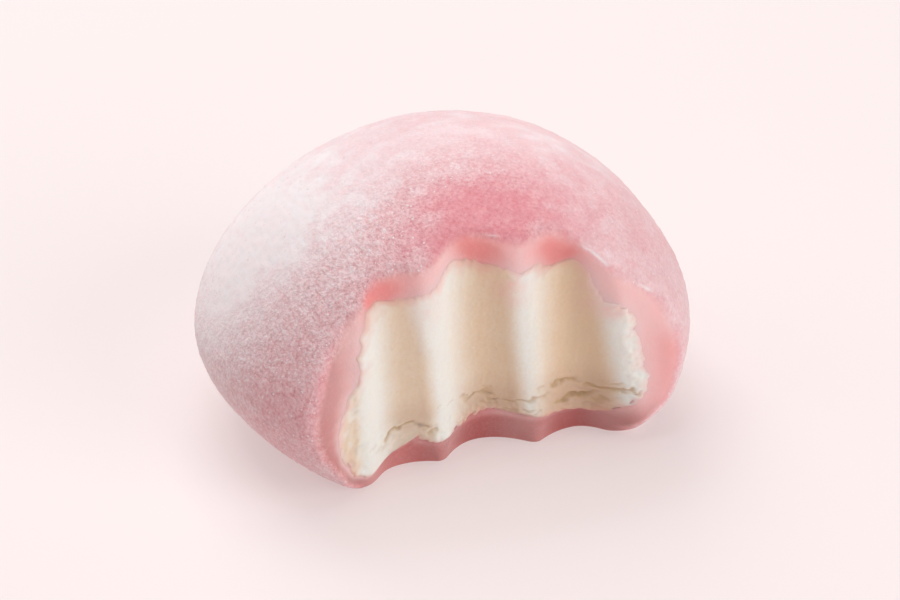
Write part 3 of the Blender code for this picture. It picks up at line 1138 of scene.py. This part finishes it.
def make_floor(settings):
    """A wide pale floor just under the base."""
    level = CAD_BOX[0][2] - FLOOR_GAP
    corners = [(-1, -1), (1, -1), (1, 1), (-1, 1)]
    mesh = bpy.data.meshes.new("floor")
    mesh.from_pydata(
        [(FLOOR_HALF * x, FLOOR_HALF * y, level) for x, y in corners], [], [(0, 1, 2, 3)])
    floor = place_in_scene("floor", mesh)
    mesh.materials.append(floor_material(settings))


def make_lights(settings):
    """Soft lights from above, behind, the left and the right front, and a dim surround."""
    for light in LIGHTS:
        data = bpy.data.lights.new(light.name, "AREA")
        data.energy = light.power * settings.light_power
        data.size = light.size
        lamp = place_in_scene(light.name, data)
        lamp.location = light.place
        aim = LIT_POINT - Vector(light.place)
        lamp.rotation_euler = aim.to_track_quat("-Z", "Y").to_euler()
    world = bpy.data.worlds.new("surround")
    world.use_nodes = True
    tree = world.node_tree
    seen = add_node(tree, "ShaderNodeLightPath").outputs["Is Camera Ray"]
    shade = mix_colours(tree, seen, SURROUND_LIGHT, settings.far_colour)
    tree.links.new(shade, tree.nodes["Background"].inputs["Color"])
    bpy.context.scene.world = world
    bpy.context.scene.view_settings.view_transform = "Standard"


def make_camera(settings):
    """A long lens, level with the horizon, a little left of the bite."""
    azimuth, elevation = settings.camera_azimuth, settings.camera_elevation
    back = Vector((
        math.sin(azimuth) * math.cos(elevation), -math.cos(azimuth) * math.cos(elevation),
        math.sin(elevation)))
    right = Vector((math.cos(azimuth), math.sin(azimuth), 0.0))
    up = back.cross(right)
    ball = dome_axis() + Vector((0.0, 0.0, SEEN_LEVEL))
    data = bpy.data.cameras.new("camera")
    data.lens = LENS
    data.sensor_width = SENSOR
    data.clip_start = 0.01
    camera = place_in_scene("camera", data)
    camera.location = ball + back * settings.camera_distance
    aim = ball + right * AIM_RIGHT - up * AIM_DOWN
    camera.rotation_euler = (aim - camera.location).to_track_quat("-Z", "Y").to_euler()
    bpy.context.scene.camera = camera


class MOCHI_PT_panel(bpy.types.Panel):
    """Lists the pieces and their settings"""

    bl_idname = "MOCHI_PT_panel"
    bl_label = "Bitten mochi"
    bl_space_type = "VIEW_3D"
    bl_region_type = "UI"
    bl_category = "Mochi"

    def draw(self, context):
        for name, _, operator in STEPS:
            box = self.layout.box()
            settings = getattr(context.scene, name)
            for key in settings.bl_rna.properties.keys():
                if key not in ("rna_type", "name"):
                    box.prop(settings, key)
            box.operator(operator.bl_idname)


STEPS = (
    ("mochi_dough", MochiDoughSettings, MOCHI_OT_dough),
    ("mochi_cream", MochiCreamSettings, MOCHI_OT_cream),
    ("mochi_starch", MochiStarchSettings, MOCHI_OT_starch),
    ("mochi_stage", MochiStageSettings, MOCHI_OT_stage),
)


def register():
    """Register the settings, the operators and the panel."""
    for name, group, operator in STEPS:
        bpy.utils.register_class(group)
        setattr(bpy.types.Scene, name, bpy.props.PointerProperty(type=group))
        bpy.utils.register_class(operator)
    bpy.utils.register_class(MOCHI_PT_panel)


def unregister():
    """Take everything out again."""
    bpy.utils.unregister_class(MOCHI_PT_panel)
    for name, group, operator in STEPS[::-1]:
        bpy.utils.unregister_class(operator)
        delattr(bpy.types.Scene, name)
        bpy.utils.unregister_class(group)


def main():
    """Build every piece in order."""
    register()
    bpy.ops.mochi.dough()
    bpy.ops.mochi.cream()
    bpy.ops.mochi.starch()
    bpy.ops.mochi.stage()


if __name__ == "__main__":
    main()
